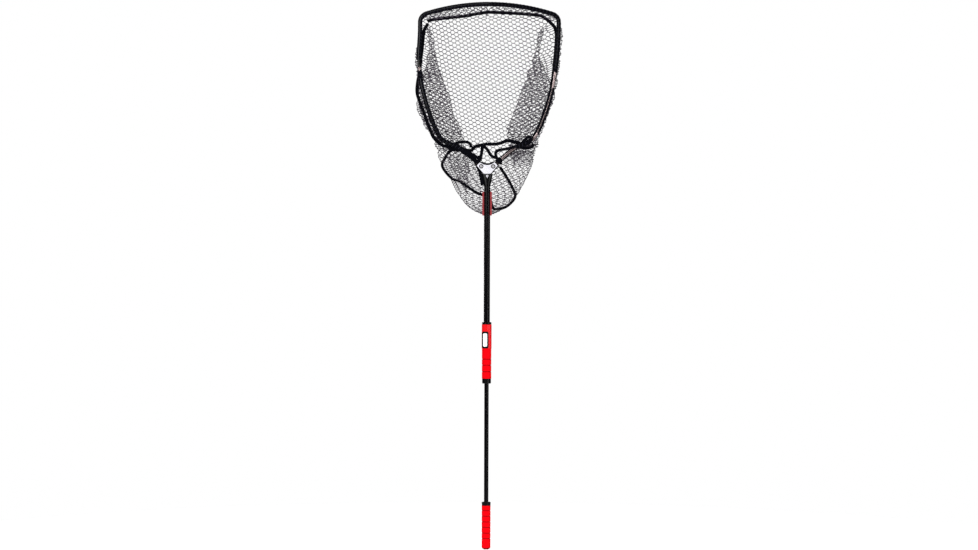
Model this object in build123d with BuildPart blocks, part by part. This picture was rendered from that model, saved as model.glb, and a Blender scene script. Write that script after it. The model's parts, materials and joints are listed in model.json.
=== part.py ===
from build123d import *
import math
import os

os.makedirs("parts", exist_ok=True)

# Folding landing net, standing on the foot of its handle with the mouth towards -Y.
# The handle's axis is Z, the hoop lies in the XZ plane and the bag hangs on the +Y side.
# The origin is the middle of the end plug's flat face. Millimetres.

# Clearances
SLIP = 0.05  # radial clearance of fits and glued joints
GAP = 0.3  # clearance between parts that only lie beside each other

# Telescopic handle: radii
UPPER_R = 12.0
LOWER_R = 8.5
TUBE_WALL = 1.2
GRIP_R = 17.25
MID_GRIP_R = 18.0
LOCK_R = 18.8
LOCK_APOTHEM = 17.6
COLLAR_R = 17.0
COLLAR_FLARE_R = 18.2

# Telescopic handle: heights
PLUG_PROUD = 2.0
END_GRIP_TOP = 168.0
END_COLLAR_TOP = 182.0
MID_COLLAR_BOTTOM = 636.0
MID_SLEEVE_BOTTOM = 655.5
LOCK_BOTTOM = 771.0
LOCK_TOP = 863.0
TOP_COLLAR_TOP = 872.0
UPPER_TUBE_BOTTOM = 640.0
UPPER_TUBE_TOP = 1410.0
LOWER_TUBE_BOTTOM = 10.0
LOWER_TUBE_TOP = 852.0
BUSH_LENGTH = 30.0
END_GROOVES = (42.0, 63.0, 85.0, 106.0, 128.0, 149.0)
MID_GROOVES = (682.0, 707.0, 730.0)
GROOVE_R = 2.0
GROOVE_OUT = 0.7  # how far outside the grip's surface a groove's centre lies
FOOT_ROUND = 7.6
PLUG_R = 9.8
PLUG_DEPTH = 18.0

# Lock button, on a facet turned towards the user's left
PANEL_TURN = 20.0
PANEL_Z = 803.7
PANEL_FACE = 17.0  # facet's distance from the axis
BEZEL_SIZE = (26.4, 64.4)
BEZEL_CORNER = 7.0
BEZEL_SUNK = 1.5
BEZEL_THICK = 2.1
BUTTON_SIZE = (16.8, 50.8)
BUTTON_CORNER = 4.8
BUTTON_PROUD = 0.9
BUTTON_THICK = 2.5
POCKET_FLOOR = 12.5
LOCK_PIN_R = 3.0
LOCK_PIN_TIP = 11.5
SPRING_R = 5.2
SPRING_WIRE_R = 0.2

# Keeper behind the upper tube
CLIP_BOTTOM = 1281.0
CLIP_TOP = 1373.0
CLIP_R = 18.5

# Yoke
SOCKET_BOTTOM = 1398.0
SOCKET_TOP = 1441.0
SOCKET_FOOT_R = 13.5
SOCKET_HEAD = (22.0, 9.5)
TONGUE_SIZE = (24.0, 33.0)  # middle of the yoke, between the plates
PLUG_BOTTOM = 1375.0
SOCKET_PIN_Z = 1404.0
SOCKET_PIN_R = 2.0
WINDOW = ((-6.5, 1437.5), (6.5, 1437.5), (0.0, 1422.0))
PIVOT = (23.0, 1470.0)
PLATE_TIP = (28.0, 1486.0)
PLATE_CORNER = (40.0, 1473.0)
PLATE_FOOT = (13.3, 1442.0)
PLATE_ARC_LOW = 1475.0
PLATE_TAB = (9.0, 1416.0)
LINER_MARGIN = 3.8
LINER_RISE = 3.0  # how much more the liner shows above the cheek, in the middle
LUG_HALF = 3.4  # half thickness of an arm's flattened end
LUG_WIDTH = 16.0
LINER_IN = 3.5
PLATE_IN = 4.5
PLATE_OUT = 6.5
WASHER_OUT = 7.3
RIVET_OUT = 9.0
RIVET_R = 3.0
RIVET_HEAD_R = 4.5
WASHER_R = 8.5
LUG_BUSH_R = 4.5

# Hoop: centre line of the right half, from the yoke to the start of the top corner
HOOP_R = 6.0
HOOP_WALL = 1.2
SLEEVE_R = 8.5
FERRULE_R = 7.4
HOOP_BENDS = ((98.0, 1539.0), (178.0, 1571.0), (203.5, 1622.0), (231.0, 1697.0), (252.5, 1778.0))
LEG_BEND = (266.0, 1880.0)
LUG_LENGTH = 22.0
TUBE_START = 32.0
SLEEVE_START = 56.0
FERRULE_HALF = 20.0
TOP_Z = 2093.0
TOP_RADIUS = 810.0
CORNER_RADIUS = 34.0

# Hem tape and ties, as routes of (x, z) in the hoop's plane
TAPE_WIDTH = 12.0
TAPE_THICK = 1.2
TAPE_Y = 9.7
TIE_WIDTH = 10.0
TIE_Y = -9.4
SIDE_TAPE = ((125, 1562), (165, 1571), (186, 1600), (216, 1672), (240, 1762), (252, 1870), (255, 1995))
TOP_TAPE = (
    (-256, 2001),
    (-250, 2019),
    (-229, 2029),
    (-95, 2047),
    (0, 2063),
    (120, 2058),
    (205, 2048),
    (242, 2026),
    (256, 2001),
)
LOOSE_TAPE = ((-118, 1549), (-56, 1535), (-25, 1552), (19, 1556), (50, 1559), (81, 1569), (119, 1562))
UPRIGHT_TIE = ((-23.5, 1545), (-23.5, 1490))
SLANTING_TIE = ((-14, 1547), (14, 1509), (42, 1500))
SLANTING_TIE_BEND = 20.0

# Mesh bag
NET_THICK = 2.0
NET_RIM_Y = 11.0
NET_TOP = 2040.0
NET_TOP_Y = 16.0
NET_SLOPE = 0.285  # how far the back falls away per unit of height
POCKET_NOTCH = ((-150, 1570), (-98, 1539), (-25, 1478), (25, 1478), (98, 1539), (150, 1570))
NET_LEVELS = (  # height, half width at the rim, half width at the fold
    (2040.0, 236.0, 222.0),
    (1950.0, 254.0, 200.0),
    (1850.0, 251.0, 175.0),
    (1760.0, 238.0, 149.0),
    (1670.0, 212.0, 120.0),
    (1600.0, 182.0, 92.0),
    (1565.0, 165.0, 66.0),
)
POCKET_Y = 84.0
POCKET_LEVELS = (  # height, half width, half depth
    (1558.0, 190.0, 66.0),
    (1470.0, 172.0, 60.0),
    (1400.0, 137.0, 52.0),
    (1350.0, 107.0, 43.0),
    (1310.0, 68.0, 31.0),
    (1288.0, 30.0, 15.0),
)


def panel_plane(distance):
    """Plane square to the lock button's direction, at a distance from the handle's axis."""
    turn = math.radians(PANEL_TURN)
    outward = (-math.sin(turn), -math.cos(turn), 0)
    across = (math.cos(turn), -math.sin(turn), 0)
    origin = (outward[0] * distance, outward[1] * distance, PANEL_Z)
    return Plane(origin=origin, x_dir=across, z_dir=outward)


def bend_radii(points):
    """A radius for each inner corner of a route: as large as its two runs allow."""
    corners = [Vector(*p) for p in points]
    radii = []
    for before, here, after in zip(corners, corners[1:], corners[2:]):
        half_turn = math.radians((here - before).get_angle(after - here)) / 2
        run = min((here - before).length, (after - here).length)
        radii.append(0.45 * run / math.tan(half_turn))
    return radii


def along(start, end, distance):
    """The point a distance from start, towards end, in the hoop's plane."""
    length = math.dist(start, end)
    return tuple(a + (b - a) * distance / length for a, b in zip(start, end))


def in_hoop_plane(point, side):
    return Vector(side * point[0], 0, point[1])


def widest_circle(edges):
    return edges.filter_by(GeomType.CIRCLE).sort_by(SortBy.RADIUS)[-1]


# The bow meets the arm in the middle of the run between the last bend and the leg's bend.
CORNER_X = LEG_BEND[0] - CORNER_RADIUS
CORNER_Z = TOP_Z - TOP_RADIUS + math.sqrt((TOP_RADIUS - CORNER_RADIUS) ** 2 - CORNER_X**2)
LEG_TOP = (LEG_BEND[0], CORNER_Z)
JOINT = tuple((a + b) / 2 for a, b in zip(HOOP_BENDS[-1], LEG_BEND))
ARM_ROUTE = (along(PIVOT, HOOP_BENDS[0], TUBE_START), *HOOP_BENDS, JOINT)
ARM_RADII = bend_radii(ARM_ROUTE)
LEG_RADIUS = bend_radii((JOINT, LEG_BEND, LEG_TOP))[0]
CORNER_END_SHARE = TOP_RADIUS / (TOP_RADIUS - CORNER_RADIUS)
CORNER_END = (
    CORNER_X * CORNER_END_SHARE,
    TOP_Z - TOP_RADIUS + (CORNER_Z - TOP_Z + TOP_RADIUS) * CORNER_END_SHARE,
)


# ---------------------------------------------------------------- upper handle

with BuildPart() as upper_tube:
    with BuildSketch(Plane.XY.offset(UPPER_TUBE_BOTTOM)):
        Circle(UPPER_R)
        Circle(UPPER_R - TUBE_WALL, mode=Mode.SUBTRACT)
    extrude(amount=UPPER_TUBE_TOP - UPPER_TUBE_BOTTOM)
    with BuildSketch(panel_plane(0)):
        Circle(LOCK_PIN_R + GAP)
    extrude(amount=LOCK_R, mode=Mode.SUBTRACT)
    with BuildSketch(Plane.YZ):
        with Locations((0, SOCKET_PIN_Z)):
            Circle(SOCKET_PIN_R)
    extrude(amount=LOCK_R, both=True, mode=Mode.SUBTRACT)
upper_tube.part.label = "upper_tube"
export_step(upper_tube.part, "parts/upper_tube.step")

with BuildPart() as mid_bottom_collar:
    with BuildSketch(Plane.XY.offset(MID_COLLAR_BOTTOM)):
        Circle(COLLAR_R)
        Circle(LOWER_R + GAP, mode=Mode.SUBTRACT)
    extrude(amount=MID_SLEEVE_BOTTOM - MID_COLLAR_BOTTOM)
    with BuildSketch(Plane.XY.offset(UPPER_TUBE_BOTTOM)):
        Circle(UPPER_R + SLIP)
    extrude(amount=MID_SLEEVE_BOTTOM - UPPER_TUBE_BOTTOM, mode=Mode.SUBTRACT)
    fillet(widest_circle(mid_bottom_collar.edges().group_by(Axis.Z)[0]), radius=4.0)
mid_bottom_collar.part.label = "mid_bottom_collar"
export_step(mid_bottom_collar.part, "parts/mid_bottom_collar.step")

with BuildPart() as guide_bush:
    with BuildSketch(Plane.XY.offset(UPPER_TUBE_BOTTOM + GAP)):
        Circle(UPPER_R - TUBE_WALL - SLIP)
        Circle(LOWER_R + SLIP, mode=Mode.SUBTRACT)
    extrude(amount=BUSH_LENGTH)
guide_bush.part.label = "guide_bush"
export_step(guide_bush.part, "parts/guide_bush.step")


def grooved_grip(bottom, top, radius, bore, grooves, foot_round=0.0):
    """Tube of soft rubber with round grooves cut across it."""
    with BuildPart() as grip:
        with BuildSketch(Plane.XY.offset(bottom)):
            Circle(radius)
            Circle(bore, mode=Mode.SUBTRACT)
        extrude(amount=top - bottom)
        for height in grooves:
            with BuildSketch(Plane.XZ):
                with Locations((radius + GROOVE_OUT, height)):
                    Circle(GROOVE_R)
            revolve(axis=Axis.Z, mode=Mode.SUBTRACT)
        if foot_round:
            fillet(widest_circle(grip.edges().group_by(Axis.Z)[0]), radius=foot_round)
    return grip


mid_grip_sleeve = grooved_grip(
    MID_SLEEVE_BOTTOM, LOCK_BOTTOM, MID_GRIP_R, UPPER_R + SLIP, MID_GROOVES
)
mid_grip_sleeve.part.label = "mid_grip_sleeve"
export_step(mid_grip_sleeve.part, "parts/mid_grip_sleeve.step")

with BuildPart() as lock_housing:
    with BuildSketch(Plane.XY.offset(LOCK_BOTTOM)):
        Circle(LOCK_R)
        RegularPolygon(
            LOCK_APOTHEM, 8, major_radius=False, rotation=22.5 - PANEL_TURN, mode=Mode.INTERSECT
        )
        Circle(UPPER_R + SLIP, mode=Mode.SUBTRACT)
    extrude(amount=LOCK_TOP - LOCK_BOTTOM)
    with BuildSketch(panel_plane(PANEL_FACE)):
        RectangleRounded(BEZEL_SIZE[0] + 2.0, BEZEL_SIZE[1] + 2.0, BEZEL_CORNER)
    extrude(amount=LOCK_R, mode=Mode.SUBTRACT)
    with BuildSketch(panel_plane(PANEL_FACE - BEZEL_SUNK)):
        RectangleRounded(BEZEL_SIZE[0] + 2 * SLIP, BEZEL_SIZE[1] + 2 * SLIP, BEZEL_CORNER)
    extrude(amount=LOCK_R, mode=Mode.SUBTRACT)
    with BuildSketch(panel_plane(POCKET_FLOOR)):
        RectangleRounded(BUTTON_SIZE[0] + 2 * GAP, BUTTON_SIZE[1] + 2 * GAP, BUTTON_CORNER + GAP)
    extrude(amount=LOCK_R, mode=Mode.SUBTRACT)
    with BuildSketch(panel_plane(0)):
        Circle(LOCK_PIN_R + GAP)
    extrude(amount=LOCK_R, mode=Mode.SUBTRACT)
lock_housing.part.label = "lock_housing"
export_step(lock_housing.part, "parts/lock_housing.step")

with BuildPart() as button_bezel:
    with BuildSketch(panel_plane(PANEL_FACE - BEZEL_SUNK)):
        RectangleRounded(*BEZEL_SIZE, BEZEL_CORNER)
        RectangleRounded(
            BUTTON_SIZE[0] + 2 * GAP, BUTTON_SIZE[1] + 2 * GAP, BUTTON_CORNER + GAP, mode=Mode.SUBTRACT
        )
    extrude(amount=BEZEL_THICK)
button_bezel.part.label = "button_bezel"
export_step(button_bezel.part, "parts/button_bezel.step")

with BuildPart() as button_spring:
    seat = panel_plane(POCKET_FLOOR + SPRING_WIRE_R + SLIP)
    top = PANEL_FACE + BUTTON_PROUD - BUTTON_THICK - SPRING_WIRE_R - SLIP
    height = top - POCKET_FLOOR - SPRING_WIRE_R - SLIP
    with BuildLine():
        coil = Helix(
            pitch=height / 2, height=height, radius=SPRING_R, center=seat.origin, direction=seat.z_dir
        )
    with BuildSketch(Plane(origin=coil @ 0, z_dir=coil % 0)):
        Circle(SPRING_WIRE_R)
    sweep(path=coil, is_frenet=True)
button_spring.part.label = "button_spring"
export_step(button_spring.part, "parts/button_spring.step")

with BuildPart() as mid_top_collar:
    with BuildSketch(Plane.XZ):
        with BuildLine():
            Polyline(
                (UPPER_R + SLIP, LOCK_TOP),
                (COLLAR_R, LOCK_TOP),
                (COLLAR_FLARE_R, LOCK_TOP + 2.5),
                (COLLAR_FLARE_R, TOP_COLLAR_TOP - 1.5),
                (COLLAR_FLARE_R - 1.5, TOP_COLLAR_TOP),
                (UPPER_R + SLIP, TOP_COLLAR_TOP),
                close=True,
            )
        make_face()
    revolve(axis=Axis.Z)
mid_top_collar.part.label = "mid_top_collar"
export_step(mid_top_collar.part, "parts/mid_top_collar.step")

with BuildPart() as rear_clip:
    with BuildSketch(Plane.XY.offset(CLIP_BOTTOM)):
        Circle(CLIP_R)
        Circle(UPPER_R + SLIP, mode=Mode.SUBTRACT)
        with Locations((0, -CLIP_R)):
            Rectangle(2 * CLIP_R, 2 * CLIP_R - 6.0, mode=Mode.SUBTRACT)
    extrude(amount=CLIP_TOP - CLIP_BOTTOM)
    ends = rear_clip.faces().filter_by(Axis.Z).edges().filter_by(GeomType.CIRCLE)
    fillet(ends.filter_by(lambda edge: edge.radius > UPPER_R + 1), radius=3.0)
rear_clip.part.label = "rear_clip"
export_step(rear_clip.part, "parts/rear_clip.step")


# ---------------------------------------------------------------- yoke

with BuildPart() as yoke_socket:
    with BuildSketch(Plane.XY.offset(SOCKET_BOTTOM)):
        Circle(SOCKET_FOOT_R)
    with BuildSketch(Plane.XY.offset(SOCKET_TOP)):
        Ellipse(*SOCKET_HEAD)
    loft()
    with BuildSketch(Plane.XZ):
        with Locations((0, SOCKET_TOP)):
            Rectangle(*TONGUE_SIZE, align=(Align.CENTER, Align.MIN))
    extrude(amount=LUG_HALF, both=True)
    with BuildSketch(Plane.XY.offset(SOCKET_BOTTOM)):
        Circle(UPPER_R + SLIP)
    extrude(amount=UPPER_TUBE_TOP - SOCKET_BOTTOM + SLIP, mode=Mode.SUBTRACT)
    with BuildSketch(Plane.XY.offset(PLUG_BOTTOM)):
        Circle(UPPER_R - TUBE_WALL - SLIP)
    extrude(amount=UPPER_TUBE_TOP - PLUG_BOTTOM + 1.0)
    with BuildSketch(Plane.XY.offset(PLATE_TAB[1] - SLIP)):
        with Locations((0, -(PLATE_IN + PLATE_OUT) / 2), (0, (PLATE_IN + PLATE_OUT) / 2)):
            Rectangle(2 * (PLATE_TAB[0] + SLIP), PLATE_OUT - PLATE_IN + 2 * SLIP)
    extrude(amount=SOCKET_TOP - PLATE_TAB[1] + 1.0, mode=Mode.SUBTRACT)
    with BuildSketch(Plane.XZ.offset(PLATE_OUT)):
        with BuildLine():
            Polyline(*WINDOW, close=True)
        make_face()
    extrude(amount=UPPER_R, mode=Mode.SUBTRACT)
    with BuildSketch(Plane.YZ):
        with Locations((0, SOCKET_PIN_Z)):
            Circle(SOCKET_PIN_R)
    extrude(amount=2 * UPPER_R, both=True, mode=Mode.SUBTRACT)
yoke_socket.part.label = "yoke_socket"
export_step(yoke_socket.part, "parts/yoke_socket.step")

with BuildPart() as socket_pin:
    with BuildSketch(Plane.YZ):
        with Locations((0, SOCKET_PIN_Z)):
            Circle(SOCKET_PIN_R - SLIP)
    extrude(amount=SOCKET_FOOT_R + 0.6, both=True)
    chamfer(socket_pin.edges().filter_by(GeomType.CIRCLE), length=0.4)
socket_pin.part.label = "socket_pin"
export_step(socket_pin.part, "parts/socket_pin.step")


def yoke_face(margin=0.0):
    """The cheek's outline in its own plane, grown by a margin, with the two rivet holes."""
    with BuildSketch() as face:
        with BuildLine():
            right = [PLATE_TIP, PLATE_CORNER, PLATE_FOOT]
            left = [(-x, z) for x, z in reversed(right)]
            Polyline(*right, *left)
            arc_low = PLATE_ARC_LOW + (LINER_RISE if margin else 0)
            ThreePointArc(left[-1], (0, arc_low), PLATE_TIP)
        make_face()
        if margin:
            offset(amount=margin)
            with Locations((0, SOCKET_TOP + GAP)):
                Rectangle(200, 100, align=(Align.CENTER, Align.MAX), mode=Mode.SUBTRACT)
        with Locations(PIVOT, (-PIVOT[0], PIVOT[1])):
            Circle(RIVET_R + SLIP, mode=Mode.SUBTRACT)
    return face.sketch


for node, inner, outer in (("front", PLATE_IN, PLATE_OUT), ("rear", -PLATE_OUT, -PLATE_IN)):
    with BuildPart() as yoke_plate:
        with BuildSketch(Plane.XZ.offset(inner)):
            add(yoke_face())
            with Locations((0, PLATE_TAB[1])):
                Rectangle(
                    2 * PLATE_TAB[0], PLATE_FOOT[1] - PLATE_TAB[1] + 1.0, align=(Align.CENTER, Align.MIN)
                )
        extrude(amount=outer - inner)
        corners = yoke_plate.edges().filter_by(Axis.Y).group_by(Axis.Z)
        fillet(corners[-1] + corners[-2], radius=1.5)
    yoke_plate.part.label = f"yoke_{node}_plate"
    export_step(yoke_plate.part, f"parts/yoke_{node}_plate.step")

for node, inner, outer in (("front", LINER_IN, PLATE_IN), ("rear", -PLATE_IN, -LINER_IN)):
    with BuildPart() as yoke_liner:
        with BuildSketch(Plane.XZ.offset(inner)):
            add(yoke_face(margin=LINER_MARGIN))
        extrude(amount=outer - inner)
    yoke_liner.part.label = f"yoke_{node}_liner"
    export_step(yoke_liner.part, f"parts/yoke_{node}_liner.step")

with BuildPart() as pivot_rivets:
    for side in (-1, 1):
        with BuildSketch(Plane.XZ):
            with Locations((side * PIVOT[0], PIVOT[1])):
                Circle(RIVET_R)
        extrude(amount=WASHER_OUT, both=True)
    for face_y in (WASHER_OUT, -RIVET_OUT):
        with BuildSketch(Plane.XZ.offset(face_y)):
            with Locations(PIVOT, (-PIVOT[0], PIVOT[1])):
                Circle(RIVET_HEAD_R)
        extrude(amount=RIVET_OUT - WASHER_OUT)
    rims = pivot_rivets.edges().filter_by(GeomType.CIRCLE)
    fillet(rims.group_by(Axis.Y)[0] + rims.group_by(Axis.Y)[-1], radius=1.0)
pivot_rivets.part.label = "pivot_rivets"
export_step(pivot_rivets.part, "parts/pivot_rivets.step")

with BuildPart() as pivot_washers:
    for face_y in (PLATE_OUT, -WASHER_OUT):
        with BuildSketch(Plane.XZ.offset(face_y)):
            with Locations(PIVOT, (-PIVOT[0], PIVOT[1])):
                Circle(WASHER_R)
                Circle(RIVET_R + SLIP, mode=Mode.SUBTRACT)
        extrude(amount=WASHER_OUT - PLATE_OUT)
pivot_washers.part.label = "pivot_washers"
export_step(pivot_washers.part, "parts/pivot_washers.step")


# ---------------------------------------------------------------- lock button

with BuildPart() as release_button:
    with BuildSketch(panel_plane(PANEL_FACE + BUTTON_PROUD - BUTTON_THICK)):
        RectangleRounded(*BUTTON_SIZE, BUTTON_CORNER)
    extrude(amount=BUTTON_THICK)
    outer_face = release_button.faces().sort_by(Axis((0, 0, 0), panel_plane(0).z_dir))[-1]
    fillet(outer_face.edges(), radius=0.8)
release_button.part.label = "release_button"
export_step(release_button.part, "parts/release_button.step")

with BuildPart() as lock_pin:
    with BuildSketch(panel_plane(LOCK_PIN_TIP)):
        Circle(LOCK_PIN_R)
    extrude(amount=PANEL_FACE + BUTTON_PROUD - BUTTON_THICK - LOCK_PIN_TIP)
lock_pin.part.label = "lock_pin"
export_step(lock_pin.part, "parts/lock_pin.step")


# ---------------------------------------------------------------- lower handle

with BuildPart() as lower_tube:
    with BuildSketch(Plane.XY.offset(LOWER_TUBE_BOTTOM)):
        Circle(LOWER_R)
        Circle(LOWER_R - TUBE_WALL, mode=Mode.SUBTRACT)
    extrude(amount=LOWER_TUBE_TOP - LOWER_TUBE_BOTTOM)
lower_tube.part.label = "lower_tube"
export_step(lower_tube.part, "parts/lower_tube.step")

with BuildPart() as slide_bush:
    with BuildSketch(Plane.XY.offset(LOWER_TUBE_TOP - BUSH_LENGTH)):
        Circle(UPPER_R - TUBE_WALL - SLIP)
        Circle(LOWER_R + SLIP, mode=Mode.SUBTRACT)
    extrude(amount=BUSH_LENGTH)
slide_bush.part.label = "slide_bush"
export_step(slide_bush.part, "parts/slide_bush.step")

end_grip = grooved_grip(
    PLUG_PROUD, END_GRIP_TOP, GRIP_R, LOWER_R + SLIP, END_GROOVES, foot_round=FOOT_ROUND
)
end_grip.part.label = "end_grip"
export_step(end_grip.part, "parts/end_grip.step")

with BuildPart() as end_grip_collar:
    with BuildSketch(Plane.XY.offset(END_GRIP_TOP)):
        Circle(GRIP_R)
        Circle(LOWER_R + SLIP, mode=Mode.SUBTRACT)
    extrude(amount=END_COLLAR_TOP - END_GRIP_TOP)
    fillet(widest_circle(end_grip_collar.edges().group_by(Axis.Z)[-1]), radius=2.5)
end_grip_collar.part.label = "end_grip_collar"
export_step(end_grip_collar.part, "parts/end_grip_collar.step")

with BuildPart() as end_plug:
    with BuildSketch():
        Circle(PLUG_R)
    extrude(amount=PLUG_PROUD)
    chamfer(end_plug.edges().group_by(Axis.Z)[0], length=0.5)
    with BuildSketch(Plane.XY.offset(PLUG_PROUD)):
        Circle(LOWER_R)
    extrude(amount=LOWER_TUBE_BOTTOM - PLUG_PROUD)
    with BuildSketch(Plane.XY.offset(LOWER_TUBE_BOTTOM)):
        Circle(LOWER_R - TUBE_WALL - SLIP)
    extrude(amount=PLUG_DEPTH)
end_plug.part.label = "end_plug"
export_step(end_plug.part, "parts/end_plug.step")


# ---------------------------------------------------------------- arms


def mirrored(points, side):
    return [(side * x, z) for x, z in points]


def sleeve_on(path, outer, inner):
    """Round tube of two radii swept along a path."""
    with BuildPart() as tube:
        with BuildSketch(Plane(origin=path @ 0, z_dir=path % 0)):
            Circle(outer)
            Circle(inner, mode=Mode.SUBTRACT)
        sweep(path=path)
    return tube


def flat_strap(route, width):
    """Hem tape lying behind the hoop, with its corners rounded as far as they allow."""
    with BuildPart() as strap:
        with BuildSketch(Plane.XZ.offset(-TAPE_Y)):
            with BuildLine():
                FilletPolyline(*route, radius=bend_radii(route))
            trace(line_width=width)
        extrude(amount=-TAPE_THICK)
    return strap


def arm_line(start, end, side):
    """The arm's centre line between two points of its first and last straight runs."""
    with BuildLine(Plane.XZ) as line:
        FilletPolyline(*mirrored((start, *HOOP_BENDS, end), side), radius=ARM_RADII)
    return line.wires()[0]


for name, side in (("left", -1), ("right", 1)):
    flat_end = along(PIVOT, HOOP_BENDS[0], LUG_LENGTH)
    outward = (in_hoop_plane(HOOP_BENDS[0], side) - in_hoop_plane(PIVOT, side)).normalized()
    round_tube = sleeve_on(arm_line(ARM_ROUTE[0], JOINT, side), HOOP_R, HOOP_R - HOOP_WALL)
    with BuildPart() as arm_tube:
        add(round_tube.part)
        with BuildSketch(Plane.XZ):
            with BuildLine():
                Line(*mirrored((PIVOT, flat_end), side))
            trace(line_width=LUG_WIDTH)
            with Locations(mirrored((PIVOT,), side)[0]):
                Circle(LUG_WIDTH / 2)
                Circle(LUG_BUSH_R + SLIP, mode=Mode.SUBTRACT)
        extrude(amount=LUG_HALF, both=True)
        with BuildSketch(Plane(origin=in_hoop_plane(flat_end, side), x_dir=(0, 1, 0), z_dir=outward)):
            RectangleRounded(2 * LUG_HALF, LUG_WIDTH, LUG_HALF - 0.1)
        with BuildSketch(Plane(origin=in_hoop_plane(ARM_ROUTE[0], side), z_dir=outward)):
            Circle(HOOP_R)
        loft()
    arm_tube.part.label = f"{name}_arm_tube"
    export_step(arm_tube.part, f"parts/{name}_arm_tube.step")

    with BuildPart() as pivot_bush:
        with BuildSketch(Plane.XZ):
            with Locations(mirrored((PIVOT,), side)[0]):
                Circle(LUG_BUSH_R)
                Circle(RIVET_R + SLIP, mode=Mode.SUBTRACT)
        extrude(amount=LUG_HALF, both=True)
    pivot_bush.part.label = f"{name}_pivot_bush"
    export_step(pivot_bush.part, f"parts/{name}_pivot_bush.step")

    ferrule_low = along(JOINT, HOOP_BENDS[-1], FERRULE_HALF)
    ferrule_high = along(JOINT, LEG_BEND, FERRULE_HALF)
    with BuildLine(Plane.XZ) as ferrule_line:
        Line(*mirrored((ferrule_low, ferrule_high), side))
    tip_ferrule = sleeve_on(ferrule_line.wires()[0], FERRULE_R, HOOP_R + SLIP)
    tip_ferrule.part.label = f"{name}_tip_ferrule"
    export_step(tip_ferrule.part, f"parts/{name}_tip_ferrule.step")

    sleeve_low = along(PIVOT, HOOP_BENDS[0], SLEEVE_START)
    sleeve_high = along(JOINT, HOOP_BENDS[-1], FERRULE_HALF + GAP)
    arm_sleeve = sleeve_on(arm_line(sleeve_low, sleeve_high, side), SLEEVE_R, HOOP_R + SLIP)
    arm_sleeve.part.label = f"{name}_arm_sleeve"
    export_step(arm_sleeve.part, f"parts/{name}_arm_sleeve.step")

    rim_tape = flat_strap(mirrored(SIDE_TAPE, side), TAPE_WIDTH)
    rim_tape.part.label = f"{name}_rim_tape"
    export_step(rim_tape.part, f"parts/{name}_rim_tape.step")


# ---------------------------------------------------------------- bow and hem


def bow_line(end):
    """The bow's centre line from a point on one arm's last run to its mirror image."""
    with BuildLine(Plane.XZ) as line:
        ThreePointArc((-CORNER_END[0], CORNER_END[1]), (0, TOP_Z), CORNER_END)
        for side in (-1, 1):
            FilletPolyline(*mirrored((end, LEG_BEND, LEG_TOP), side), radius=LEG_RADIUS)
            TangentArc(*mirrored((LEG_TOP, CORNER_END), side), tangent=(0, 1))
    return line.wires()[0]


top_bow = sleeve_on(bow_line(along(JOINT, LEG_BEND, SLIP)), HOOP_R, HOOP_R - HOOP_WALL)
top_bow.part.label = "top_bow"
export_step(top_bow.part, "parts/top_bow.step")

bow_sleeve = sleeve_on(bow_line(along(JOINT, LEG_BEND, FERRULE_HALF + GAP)), SLEEVE_R, HOOP_R + SLIP)
bow_sleeve.part.label = "bow_sleeve"
export_step(bow_sleeve.part, "parts/bow_sleeve.step")


top_rim_tape = flat_strap(TOP_TAPE, TAPE_WIDTH)
top_rim_tape.part.label = "top_rim_tape"
export_step(top_rim_tape.part, "parts/top_rim_tape.step")

loose_rim_tape = flat_strap(LOOSE_TAPE, TAPE_WIDTH - 1.0)
loose_rim_tape.part.label = "loose_rim_tape"
export_step(loose_rim_tape.part, "parts/loose_rim_tape.step")

with BuildPart() as yoke_ties:
    with BuildSketch(Plane.XZ.offset(-TIE_Y)):
        with BuildLine():
            Line(*UPRIGHT_TIE)
        trace(line_width=TIE_WIDTH)
    extrude(amount=TAPE_THICK)
    with BuildSketch(Plane.XZ.offset(-TIE_Y)):
        with BuildLine():
            FilletPolyline(*SLANTING_TIE, radius=SLANTING_TIE_BEND)
        trace(line_width=TIE_WIDTH)
    extrude(amount=TAPE_THICK)
yoke_ties.part.label = "yoke_ties"
export_step(yoke_ties.part, "parts/yoke_ties.step")


# ---------------------------------------------------------------- mesh bag


def back_depth(height):
    """How far behind the hoop the bag's back hangs at a height."""
    return NET_TOP_Y + (NET_TOP - height) * NET_SLOPE


with BuildPart() as net_back_panel:
    for height, _, fold in NET_LEVELS:
        with BuildSketch(Plane.XY.offset(height)):
            with Locations((0, back_depth(height))):
                Rectangle(2 * fold, NET_THICK, align=(Align.CENTER, Align.MIN))
    loft(ruled=True)
net_back_panel.part.label = "net_back_panel"
export_step(net_back_panel.part, "parts/net_back_panel.step")

for name, side in (("left", -1), ("right", 1)):
    with BuildPart() as net_side_panel:
        for height, rim, fold in NET_LEVELS:
            edge = Vector(rim, NET_RIM_Y)
            crease = Vector(fold + GAP, back_depth(height))
            skin = (edge - crease).normalized().rotate(Axis.Z, 90) * NET_THICK
            outline = [edge, crease, crease + skin, edge + skin]
            with BuildSketch(Plane.XY.offset(height)):
                with BuildLine():
                    Polyline(*[(side * p.X, p.Y) for p in outline], close=True)
                make_face()
        loft(ruled=True)
    net_side_panel.part.label = f"net_{name}_panel"
    export_step(net_side_panel.part, f"parts/net_{name}_panel.step")


def pocket_body(shrink):
    """Bag-shaped solid through the pocket's levels, each made smaller all round."""
    with BuildPart() as body:
        for height, half_width, half_depth in POCKET_LEVELS:
            lift = shrink if height == POCKET_LEVELS[-1][0] else 0
            with BuildSketch(Plane.XY.offset(height + lift)):
                with Locations((0, POCKET_Y)):
                    Ellipse(half_width - shrink, half_depth - shrink)
        loft(ruled=True)
    return body.part


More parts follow.
